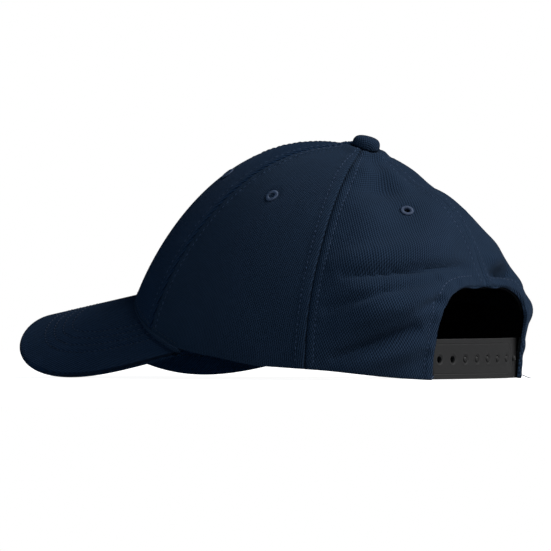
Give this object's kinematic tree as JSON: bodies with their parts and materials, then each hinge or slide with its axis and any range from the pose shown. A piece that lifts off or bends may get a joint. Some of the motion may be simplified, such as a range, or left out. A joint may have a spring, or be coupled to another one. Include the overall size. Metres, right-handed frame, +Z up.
{
  "type": "bump cap",
  "caption": "Fabric baseball-style safety cap with a curved visor, a snap strap at the rear opening and a removable vented impact shell lined with foam pads.",
  "frame": {"origin": "centre of the widest section of the head opening, on the plane that the cap rests on", "axes": "+Z up, -Y towards the visor, +X towards the wearer's left"},
  "size_m": [0.168, 0.2488, 0.1215],
  "materials": {
    "cloth": "navy cotton twill, matt",
    "thread": "navy embroidery thread, soft sheen",
    "rivet_metal": "plain stamped steel",
    "board": "stiff moulded board",
    "sweatband": "black cotton band",
    "tape": "black woven tape",
    "buckram": "stiff open weave",
    "hook_loop": "hook and loop pile",
    "strap_plastic": "satin black moulded plastic",
    "shell_plastic": "fine-textured black ABS",
    "foam": "closed-cell foam, matt"
  },
  "bodies": {
    "insert": {"impact_shell": "shell_plastic", "hook_patches": "hook_loop", "crown_pad": "foam", "front_pad": "foam", "side_pad_left": "foam", "side_pad_right": "foam", "rear_pad": "foam"},
    "cap": {"front_panel_left": "cloth", "front_panel_right": "cloth", "side_panel_left": "cloth", "side_panel_right": "cloth", "back_panel_left": "cloth", "back_panel_right": "cloth", "top_button": "cloth", "visor_top_cover": "cloth", "visor_under_cover": "cloth", "eyelets": "thread", "button_rivet": "rivet_metal", "visor_board": "board", "sweatband": "sweatband", "seam_tapes": "tape", "arch_binding": "tape", "front_buckram": "buckram", "loop_patches": "hook_loop", "strap_tab_left": "strap_plastic", "strap_tab_right": "strap_plastic"},
    "left_strap": {"strap_left": "strap_plastic"},
    "right_strap": {"strap_right": "strap_plastic"}
  },
  "joints": [
    {"name": "insert_release", "type": "slide", "parent": "insert", "child": "cap", "axis": [0, 0, 1], "range_m": [0, 0.13]},
    {"name": "left_strap_unsnap", "type": "hinge", "parent": "cap", "child": "left_strap", "pos_m": [0.04126, 0.07402, 0.0104], "axis": [0, 0, -1], "range_deg": [0, 75]},
    {"name": "right_strap_unsnap", "type": "hinge", "parent": "cap", "child": "right_strap", "pos_m": [-0.04633, 0.0706, 0.0104], "axis": [0, 0, -1], "range_deg": [0, 45]}
  ]
}
